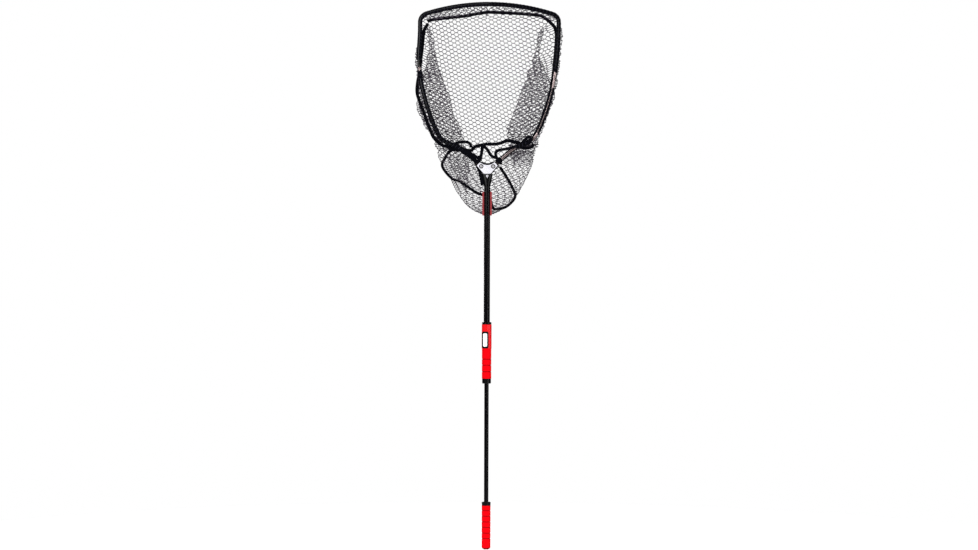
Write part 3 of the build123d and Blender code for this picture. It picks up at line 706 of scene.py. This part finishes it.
class BagSide:
    """One half of the bag's surface: points by height and by share of the section's length."""

    HEIGHTS = np.linspace(NET_BOTTOM, NET_TOP, 360)
    SHARES = np.linspace(0, 1, 320)
    CONTROLS = 11  # points of each section

    def __init__(self, side):
        self.sign = SIDES[side]
        heights = [level[0] / 1000 for level in POCKET]
        sections = [np.array(pocket_section(*pair, side)) for pair in zip(POCKET, POCKET_FOLDS[side])]
        overhang = np.array(OVERHANG[side])
        for height, fold, outer in FOLDS[side]:
            z = height / 1000
            heights.append(z)
            over = np.interp(z, overhang[:, 0], overhang[:, 1])
            sections.append(np.array(folded_section(z, fold / 1000, outer / 1000, over)))
        for height in TOP_LEVELS:
            heights.append(height)
            depth = np.interp(height, (2.0, 2.06, NET_TOP), (0.027, 0.012, 0.007))
            level = [(s * rim_x(height), depth + (0.006 - depth) * s**3) for s in TOP_SHARES]
            sections.append(np.array(level))
        knots, sections = np.array(heights), np.array(sections)
        self.table = np.empty((len(self.HEIGHTS), len(self.SHARES), 3))
        self.lengths = np.empty(len(self.HEIGHTS))
        number, depth, phase = CREASES[side]
        for row, z in enumerate(self.HEIGHTS):
            control = np.array(
                [[hermite(z, knots, sections[:, k, c]) for c in (0, 1)] for k in range(self.CONTROLS)]
            )
            control[-1, 0] = rim_x(z)
            if z > TOP_LEVELS[0]:
                control[:, 0] = np.minimum(control[:, 0], rim_x(z))
            line = through(control, 0.0012)
            share = line_lengths(line)
            share /= share[-1]
            normal = np.gradient(line, axis=0)[:, ::-1] * [1, -1]
            normal /= np.linalg.norm(normal, axis=1)[:, None]
            pocket = smooth((1.60 - z) / 0.12)
            start = np.interp(z, (1.60, 1.75, 2.0), (0.16, 0.3, 0.7)) * (1 - pocket) + 0.1 * pocket
            window = smooth((share - start) / 0.1) * smooth((0.99 - share) / 0.1)
            fade = smooth((2.06 - z) / 0.2) * smooth((z - NET_BOTTOM) / 0.06)
            wave = np.sin(2 * math.pi * number * share + phase + 17 * z)
            wave = wave + 0.5 * np.sin(2 * math.pi * 2.3 * number * share - 41 * z + phase)
            line = line + normal * (depth * fade * (1 - 0.7 * pocket) * window * wave)[:, None]
            length = line_lengths(line)
            self.lengths[row] = length[-1]
            at = self.SHARES * length[-1]
            self.table[row, :, 0] = self.sign * np.interp(at, length, line[:, 0])
            self.table[row, :, 1] = np.interp(at, length, line[:, 1])
            self.table[row, :, 2] = z
            outer = np.abs(self.table[row, :, 0]) - rim_x(z) * 0.3
            rim_share = smooth(outer / (rim_x(z) * 0.7 + 1e-6))
            self.table[row, :, 0] += lean(z) * (rim_share if z < TOP_LEVELS[0] + 0.005 else 1)

    def length_at(self, z):
        """The section's length at a height."""
        return np.interp(z, self.HEIGHTS, self.lengths)

    def point(self, z, share):
        """Points of the surface, blended between the table's rows and columns."""
        row = np.clip((z - NET_BOTTOM) / (NET_TOP - NET_BOTTOM), 0, 1) * (len(self.HEIGHTS) - 1)
        column = np.clip(share, 0, 1) * (len(self.SHARES) - 1)
        i = np.minimum(row.astype(int), len(self.HEIGHTS) - 2)
        j = np.minimum(column.astype(int), len(self.SHARES) - 2)
        u, v = (row - i)[:, None], (column - j)[:, None]
        t = self.table
        low = t[i, j] * (1 - v) + t[i, j + 1] * v
        high = t[i + 1, j] * (1 - v) + t[i + 1, j + 1] * v
        return low * (1 - u) + high * u

    def depth_at(self, x, z, front=False):
        """How far back the mesh is at a point of the hoop's plane, on the bag's back or front."""
        share = np.clip((z - NET_BOTTOM) / (NET_TOP - NET_BOTTOM), 0, 1)
        section = self.table[int(round(share * (len(self.HEIGHTS) - 1)))]
        widest = int(np.argmax(np.abs(section[:, 0])))
        part = section[widest:][::-1] if front else section[: widest + 1]
        return float(np.interp(abs(x), np.abs(part[:, 0]), part[:, 1]))


BAG = {side: BagSide(side) for side in SIDES}


CLOTH = line_lengths(BAG["left"].table[:, 0])  # cloth up the middle of the back to each height


def lattice(half_width, height):
    """Ends of every strand of a flat mesh, as (s, t), and whether it is a twisted strand across."""
    step = CELL_HALF + TWIST_HALF
    columns = int(half_width / step) + 2
    rows = int(height / PITCH) + 2
    column, row = np.meshgrid(np.arange(-columns, columns + 1), np.arange(-1, rows + 1))
    s = column * step
    t = (row + 0.5 * (column % 2)) * PITCH
    centre = np.stack([s.ravel(), t.ravel()], 1)
    corner = np.array(
        [(CELL_HALF, 0), (TWIST_HALF, PITCH / 2), (-TWIST_HALF, PITCH / 2), (-CELL_HALF, 0)]
    )
    starts = np.concatenate([centre + corner[i] for i in (0, 1, 2)])
    ends = np.concatenate([centre + corner[i + 1] for i in (0, 1, 2)])
    across_cell = np.repeat([False, True, False], len(centre))
    for points in (starts, ends):
        points[:, 0] -= SLANT * (points[:, 1] - height * 0.6)
    return starts, ends, across_cell


def half_length(points):
    """The section's length at each lattice point, on the point's own side."""
    z = np.interp(points[:, 1], CLOTH, BagSide.HEIGHTS)
    return np.where(points[:, 0] < 0, BAG["left"].length_at(z), BAG["right"].length_at(z))


def outside(points):
    """How far a lattice point is past the bag's rim; negative inside."""
    beyond = np.abs(points[:, 0]) - half_length(points)
    return np.maximum.reduce([beyond, points[:, 1] - CLOTH[-1], -points[:, 1]])


def uneven(points):
    """Knots a little off their places, as in any hung mesh."""
    s, t = points.T
    stray = np.stack([np.sin(7919.0 * s + 6101.0 * t), np.sin(5407.0 * s - 8231.0 * t)], 1)
    in_folds = smooth((np.abs(s) - 0.10) / 0.08) * smooth((t - FOLDS_FROM) / 0.06)
    return points + KNOT_STRAY * (0.3 + 0.7 * in_folds[:, None]) * stray


def mesh_strands():
    """Strands of each side's mesh, cut where the bag's rim cuts them."""
    starts, ends, across_cell = lattice(0.75, CLOTH[-1])
    out_start, out_end = outside(starts), outside(ends)
    keep = (out_start < 0) | (out_end < 0)
    starts, ends, across_cell = starts[keep], ends[keep], across_cell[keep]
    out_start, out_end = out_start[keep], out_end[keep]
    cuts = ((ends, starts, out_start, out_end), (starts, ends, out_end, out_start))
    for cut, other, near, far in cuts:
        crossing = (far > 0) & (near < 0)
        share = near[crossing] / (near[crossing] - far[crossing])
        cut[crossing] = other[crossing] + (cut[crossing] - other[crossing]) * share[:, None]
    middle = (starts + ends)[:, 0] / 2
    made = {}
    for side, bag in BAG.items():
        mine = middle * bag.sign >= 0
        pair = []
        for points in (uneven(starts[mine]), uneven(ends[mine])):
            z = np.interp(points[:, 1], CLOTH, BagSide.HEIGHTS)
            share = points[:, 0] * bag.sign / bag.length_at(z)
            placed = bag.point(z, np.abs(share))
            placed[share < 0, 0] *= -1
            pair.append(placed)
        long_enough = np.linalg.norm(pair[0] - pair[1], axis=1) > 0.0008
        made[side] = (pair[0][long_enough], pair[1][long_enough], across_cell[mine][long_enough])
    return made


def hem_strands(side, hem_line):
    """The doubled edge of the mesh between the hoop and the hem tape, over the top."""
    sign = SIDES[side]
    hoop = resample(in_space(hoop_between(2.0), sign, 0.005)[::-1], 0.003)
    tape = resample(hem_line, 0.003)
    length = line_lengths(hoop)[-1]
    shares = np.linspace(0, 1, 200)
    edges = []
    for line in (hoop, tape):
        at = line_lengths(line) / line_lengths(line)[-1]
        edges.append(np.stack([np.interp(shares, at, column) for column in line.T], 1))
    gap = np.linalg.norm(edges[0] - edges[1], axis=1)
    starts, ends, across_cell = lattice(length, 0.045)
    starts, ends = starts * HEM_CELL, ends * HEM_CELL
    keep = np.ones(len(starts), bool)
    for s, t in (starts.T, ends.T):
        keep &= (s > 0) & (s < length) & (t > 0) & (t < np.interp(s / length, shares, gap))
    placed = []
    for points in (starts[keep], ends[keep]):
        share = points[:, 0] / length
        top = np.stack([np.interp(share, shares, column) for column in edges[0].T], 1)
        low = np.stack([np.interp(share, shares, column) for column in edges[1].T], 1)
        down = (points[:, 1] / np.interp(share, shares, gap))[:, None]
        placed.append(top + (low - top) * down)
    return strands(f"hem_mesh_{side}", *placed, across_cell[keep], MATERIALS["mesh_charcoal"])


def make_bag():
    """The mesh of each side with its hem."""
    for side, (starts, ends, across_cell) in mesh_strands().items():
        tight = smooth((starts[:, 2] - 1.55) / 0.08) * smooth((np.abs(starts[:, 0]) - 0.10) / 0.06)
        slack = smooth((1.58 - starts[:, 2]) / 0.08)
        scale = 1 + STRAND_GAIN * tight - STRAND_LOSS * slack
        bag = strands(f"bag_{side}", starts, ends, across_cell, MATERIALS["mesh_charcoal"], scale)
        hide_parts("net_back_panel", f"net_{side}_panel", "net_pocket")
        follow(bag, MESH_REACH)
        hem = hem_strands(side, flat_run([(x, z, HEM_DEPTH) for x, z, _ in TOP_HEM[side]]))
        follow(hem, MESH_REACH)


# ------------------------------------------------------------------ hoop dressing, tapes and ties
# Routes are (x, z, depth) points in mm, which a smooth line runs through.

# The hem's wrapped stretches, as heights along the hoop; the tube shows between them
ARM_WRAPS = {"left": ((1.514, 1.840),), "right": ((1.540, 1.567), (1.598, 1.772))}
BOW_START = {"left": 1.876, "right": 1.830}
LINED = ("left_arm_0", "right_arm_0")  # wraps closed enough to hide the tube
FERRULE_COVER = {"left": (1.803, 1.838), "right": (1.832, 1.853)}  # hem pulled over the joint
# The wrap's opening, as angles from the tube's outer side to its front, and the edge cord beside it
OPENINGS = {"left": (52, 96), "right": (72, 112)}
CORD_BESIDE = 14
CORD_OFF, CORD_RADIUS = 0.0077, 0.0019


def dress_tube(name, centre, side):
    """Hem cloth, its lining, edge cord and lacing round one stretch of tube."""
    sign = SIDES[side]
    black = MATERIALS["woven_black"]
    opening = OPENINGS[side]
    wrap = open_wrap(f"{name}_wrap", centre, sign, black, opening)
    lining = []
    if name in LINED:
        lining = [tube(f"{name}_lining", centre, LINING_RADIUS, MATERIALS["bow_coating"], 16)]
    edge = beside(centre, sign, opening[0] - CORD_BESIDE, CORD_OFF)
    cord = tube(f"{name}_edge_cord", edge, CORD_RADIUS, black, 10, 0.16)
    winding = helix(centre, SLEEVE_RADIUS + 0.0003, LACE_PITCH)
    lace = tube(f"{name}_lacing", winding, LACE_RADIUS, LACING_CORD, 6)
    return wrap, *lining, cord, lace


def make_hoop_dressing():
    """Hem, edge cord and lacing on the arms and the bow, and the bow's coated rod."""
    for side, sign in SIDES.items():
        for number, stretch in enumerate(ARM_WRAPS[side]):
            arm = in_space(hoop_between(*stretch), sign)
            pieces = dress_tube(f"{side}_arm_{number}", arm, side)
            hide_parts(f"{side}_arm_sleeve")
            for piece in pieces:
                ride(piece, f"{side}_arm")
        joint = in_space(hoop_between(*FERRULE_COVER[side]), sign)
        cover = tube(f"{side}_ferrule_cover", joint, COVER_RADIUS, MATERIALS["woven_black"], 16)
        follow(cover)
        core = in_space(hoop_between(JOINT_Z), sign)
        rod = tube(f"bow_rod_{side}", core, BOW_RADIUS, MATERIALS["bow_coating"], 16)
        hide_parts("top_bow")
        follow(rod)
        pieces = dress_tube(f"bow_{side}", in_space(hoop_between(BOW_START[side]), sign), side)
        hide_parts("bow_sleeve")
        for piece in pieces:
            follow(piece)


def on_mesh(route, lift, front=False):
    """Points of the hoop's plane laid on the mesh, in front of it by a lift."""
    placed = []
    for x, z in through(np.array(route) / 1000, 0.004):
        bag = BAG["left" if x < 0 else "right"]
        placed.append((x, bag.depth_at(x, z, front) - lift, z))
    placed = np.array(placed)
    kernel = np.ones(9) / 9
    placed[4:-4, 1] = np.convolve(placed[:, 1], kernel, "valid")
    return placed


def flat_run(route):
    """A smooth line through (x, z, depth) points in mm."""
    return through([(x / 1000, y / 1000, z / 1000) for x, z, y in route], 0.004)


def tape_piece(name, line, width=TAPE_WIDTH, node=None):
    """A black tape along one side of the mesh, hiding the CAD node it stands in for when one is given."""
    tape = ribbon(name, line, MATERIALS["woven_black"], width=width)
    if node:
        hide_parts(node)
    follow(tape, MESH_REACH)


# Hem tape over the top, from the middle
TOP_HEM = {
    "left": [
        (0, 2063, 9.8), (-45, 2056, 9.8), (-95, 2047, 9.8), (-160, 2040, 9.6),
        (-218, 2032, 9.4), (-231, 2026, 9.4),
    ],
    "right": [
        (0, 2063, 9.8), (60, 2061, 9.8), (120, 2058, 9.8), (180, 2053, 9.7), (209, 2048, 9.6),
        (234, 2030, 9.4), (256, 2008, 9.3), (262, 1992, 9.2),
    ],
}
# Hem tapes by name, with the CAD node and the route of each
HEM_TAPES = {
    "top_hem_left": ("left", "top_rim_tape", TOP_HEM["left"]),
    "top_hem_right": ("right", "top_rim_tape", TOP_HEM["right"]),
    "side_hem_left": ("left", "left_rim_tape", [
        (-229, 2018, 9.6), (-244, 1992, 9.6), (-248, 1958, 9.7), (-251, 1925, 10),
        (-257, 1875, 10.6), (-261, 1832, 12), (-269, 1788, 13), (-269, 1746, 13),
        (-247, 1684, 12), (-221, 1614, 12), (-203, 1577, 11), (-168, 1549, 10),
        (-122, 1545, 9.8),
    ]),
    "side_hem_right": ("right", "right_rim_tape", [
        (262, 1998, 9.5), (264, 1960, 9.6), (259, 1890, 9.8), (245, 1772, 9.8),
        (216, 1672, 9.8), (187, 1600, 9.8), (165, 1571, 9.8), (128, 1557, 9.8),
    ]),
    "slack_hem_left": ("left", "loose_rim_tape", [
        (0, 1557, 10), (-23, 1552, 10), (-44, 1547, 10.5), (-66, 1531, 10.5), (-96, 1537, 10.2),
        (-124, 1550, 10),
    ]),
    "slack_hem_right": ("right", "loose_rim_tape", [
        (0, 1557, 10), (30, 1556, 10), (54, 1561, 10.4), (76, 1569, 10.5), (104, 1565, 10.2),
        (132, 1556, 10),
    ]),
}


def make_hem():
    """The hem tape round the mouth, with its slack stretches."""
    for name, (side, node, route) in HEM_TAPES.items():
        tape_piece(name, flat_run(route), node=node)


TIE_WIDTH = 0.0120
GATHER_WIDTH = 0.0115
# Straps from the hem to the arm roots
YOKE_TIES = {
    "left": [(-19, 1551, 8), (-20, 1532, -4), (-24, 1508, -9.8), (-28, 1490, -10.2)],
    "right": [
        (-15, 1549, 8), (-1, 1536, -3), (11, 1517, -8), (21, 1507, -9.4), (36, 1502, -8.6),
        (47, 1496, -7.4),
    ],
}
# Hem gathered and knotted round the lower arms
GATHERS = {
    "hem_bunch": ("left", [
        (-128, 1556, 9), (-104, 1563, 2), (-80, 1563, -6), (-66, 1556, -8), (-62, 1543, -4),
    ]),
    "hem_knot_a": ("left", [
        (-86, 1534, -9), (-64, 1520, -10), (-46, 1509, -10), (-34, 1499, -9), (-34, 1484, -7),
    ]),
    "hem_knot_b": ("left", [
        (-72, 1512, -4), (-55, 1507, -8), (-40, 1503, -11), (-26, 1508, -10), (-24, 1516, -6),
    ]),
    "hem_knot_c": ("left", [
        (-62, 1516, 2), (-50, 1497, -3), (-42, 1487, -9), (-33, 1492, -11), (-28, 1501, -10),
    ]),
    "root_gather": ("left", [
        (-120, 1553, -7), (-98, 1536, -8), (-78, 1524, -9), (-60, 1507, -8), (-48, 1492, -6),
    ]),
    "hem_roll": ("left", [
        (-132, 1548, -5), (-112, 1537, -6), (-92, 1523, -7), (-70, 1513, -8), (-54, 1498, -8),
        (-44, 1482, -4),
    ]),
    "hem_fold": ("left", [
        (-150, 1541, 8), (-128, 1534, 4), (-104, 1533, -2), (-84, 1527, -7), (-70, 1534, -9),
    ]),
    "knee_knot": ("right", [
        (133, 1560, -6), (146, 1573, -10), (158, 1583, -11), (170, 1576, -10), (163, 1563, -9),
        (144, 1556, -7),
    ]),
    "hem_loop": ("right", [
        (35, 1506, -5), (32, 1521, -9), (42, 1531, -9), (61, 1535, -8), (86, 1540, -8),
        (112, 1549, -4),
    ]),
    "arm_knot": ("right", [(33, 1496, -9), (41, 1490, -10), (51, 1484, -9), (53, 1478, -5)]),
    "knee_loop": ("right", [(176, 1559, 2), (172, 1546, 9), (150, 1541, 10), (128, 1545, 9)]),
}
# Cord wound round each arm's root: start and end along the arm, and turns
ROOT_WRAPS = {"left": (0.036, 0.078, 4), "right": (0.030, 0.044, 2)}
ROOT_COVER_START = 0.0225
# Cords sewn along the bare stretch of the right arm, and their angles round it
BARE_ARM = (1.500, 1.545)
BARE_CORDS = (("outer", 8), ("inner", 150))
# Binding over the yoke's notch, and the strap end that hangs from the left arm's root
BINDING_ARC = [(-22, 1485, -5), (-13, 1480.5, -5), (0, 1479, -5), (13, 1480.5, -5), (22, 1485, -5)]
STRAP_TAIL = [
    (-46, 1487, 2), (-39, 1474, 6), (-30, 1456, 3), (-25, 1436, -6), (-21, 1415, -10),
    (-18, 1397, -11),
]


def wrap_root(side):
    """The cover and the cord wound round one arm's root."""
    sign, black = SIDES[side], MATERIALS["woven_black"]
    start, end, turns = ROOT_WRAPS[side]
    distance = line_lengths(HOOP) + 0.030
    root = in_space(HOOP[(distance >= start) & (distance <= end)], sign)
    steps = np.arange(ROOT_COVER_START, end, 0.002)
    near = np.array([along(PIVOT, HOOP_BENDS[0], step) for step in steps])
    cover = tube(f"{side}_root_cover", in_space(near, sign), 0.0083, black, 16, 0.05, 0.006)
    ride(cover, f"{side}_arm")
    winding = helix(root, SLEEVE_RADIUS, (end - start) / turns, 16)
    ride(tube(f"{side}_root_wrap", winding, 0.0026, black, 8), f"{side}_arm")


def make_ties():
    """The ties at the yoke, the wraps of the arm roots and the gathered hem round them."""
    black = MATERIALS["woven_black"]
    for side, route in YOKE_TIES.items():
        tape_piece(f"yoke_tie_{side}", flat_run(route), TIE_WIDTH, "yoke_ties")
    for side in SIDES:
        wrap_root(side)
    bare = in_space(hoop_between(*BARE_ARM))
    for name, angle in BARE_CORDS:
        cord = tube(f"root_cord_{name}", beside(bare, 1, angle, 0.0066), 0.0027, black, 10, 0.2)
        ride(cord, "right_arm")
    for name, (side, route) in GATHERS.items():
        tape_piece(name, flat_run(route), GATHER_WIDTH)
    binding = ribbon("yoke_binding", flat_run(BINDING_ARC), black, width=0.0065)
    tail = ribbon("strap_tail", flat_run(STRAP_TAIL), black, width=0.0135, thick=0.0022)
    for piece in (binding, tail):
        ride(piece, ROOT)


SEAM_TAPE_WIDTH = 0.0108
SEAM_LIFT = 0.0016
# Tape over the base seam, as (x, z) points in mm
BASE_SEAM = {
    "left": [
        (-14, 1359), (-53, 1377), (-102, 1411), (-136, 1425), (-166, 1458), (-174, 1480),
        (-163, 1502), (-146, 1527), (-122, 1535), (-98, 1532),
    ],
    "right": [
        (8, 1354), (17, 1328), (27, 1308), (62, 1312), (88, 1328), (108, 1355), (101, 1382),
        (80, 1421), (49, 1469),
    ],
}


def make_seams():
    """The tape over the base seam, the front seam behind the handle and the bottom seam."""
    for side, route in BASE_SEAM.items():
        tape_piece(f"base_seam_{side}", on_mesh(route, SEAM_LIFT, front=True), SEAM_TAPE_WIDTH)
    rows = BAG["right"].table[:, -1][BagSide.HEIGHTS < NOTCH_Z]
    half = BAG["left"].table[2][::-1]
    bottom = np.vstack([half[::8], BAG["right"].table[2][::8]])
    front = rows[::3] - [0, 0.0008, 0]
    for name, line in (("front_seam", front), ("bottom_seam", resample(bottom, 0.003))):
        seam = tube(name, line, SEAM_RADIUS, MATERIALS["mesh_charcoal"], 8)
        ride(seam, ROOT)


# ------------------------------------------------------------------ studio


def make_floor():
    """Plain pale floor."""
    shader = Shader("floor", (0.93, 0.93, 0.93), 0.9, specular=0.1)
    shader.tint(shader.noise(2.0), (0.92, 0.92, 0.92), (0.95, 0.95, 0.95))
    shader.set("Emission Color", (1, 1, 1, 1))
    shader.set("Emission Strength", 0.45)
    bpy.ops.mesh.primitive_circle_add(vertices=96, radius=2.4, fill_type="NGON", location=(0, 0, 0))
    floor = bpy.context.object
    floor.name = "floor"
    floor.data.materials.append(shader.material)


def make_light(name, place, target, size, power):
    """A soft box that faces a target."""
    data = bpy.data.lights.new(name, "AREA")
    data.shape = "RECTANGLE"
    data.size, data.size_y = size
    data.energy = power
    light = add(name, data)
    light.location = place
    light.rotation_euler = (Vector(target) - Vector(place)).to_track_quat("-Z", "Y").to_euler()


def make_studio():
    """White surround, dimmer as a light than as a backdrop, and soft boxes for the highlights."""
    scene = bpy.context.scene
    scene.view_settings.view_transform = "Standard"
    world = bpy.data.worlds.new("studio")
    world.use_nodes = True
    tree = world.node_tree
    backdrop = tree.nodes["Background"]
    backdrop.inputs["Color"].default_value = (1, 1, 1, 1)
    fill = tree.nodes.new("ShaderNodeBackground")
    fill.inputs["Color"].default_value = (1, 1, 1, 1)
    path = tree.nodes.new("ShaderNodeLightPath")
    dim = tree.nodes.new("ShaderNodeMapRange")  # dimmer still in reflections
    dim.inputs["To Min"].default_value = 0.34
    dim.inputs["To Max"].default_value = 0.10
    tree.links.new(path.outputs["Is Glossy Ray"], dim.inputs["Value"])
    tree.links.new(dim.outputs["Result"], fill.inputs["Strength"])
    mix = tree.nodes.new("ShaderNodeMixShader")
    tree.links.new(path.outputs["Is Camera Ray"], mix.inputs[0])
    tree.links.new(fill.outputs[0], mix.inputs[1])
    tree.links.new(backdrop.outputs[0], mix.inputs[2])
    tree.links.new(mix.outputs[0], tree.nodes["World Output"].inputs["Surface"])
    scene.world = world
    middle = (0, 0, 1.05)
    make_light("key", (-2.4, -3.6, 2.6), middle, (1.8, 2.6), 145)
    make_light("right_strip", (2.6, -2.8, 1.3), middle, (0.5, 2.6), 70)
    make_light("top_strip", (0, -2.4, 4.4), (0, 0, 1.9), (2.6, 0.7), 45)
    make_light("back_strip", (-1.6, 3.4, 1.8), middle, (0.5, 2.4), 40)


def make_camera():
    """Level camera far off, with the lens that frames the whole net top to bottom."""
    away, frame_width, sensor = 12.0, 3.755, 36.0
    data = bpy.data.cameras.new("camera")
    data.sensor_width = sensor
    data.lens = sensor * away / frame_width
    data.clip_end = 100
    camera = add("camera", data)
    camera.location = (0.0082, -away, 1.053)
    camera.rotation_euler = (math.pi / 2, math.radians(-0.18), 0)
    bpy.context.scene.camera = camera


make_camera()
make_studio()
make_floor()
dress_cad_nodes()
make_spring()
make_bag()
make_hoop_dressing()
make_hem()
make_ties()
make_seams()
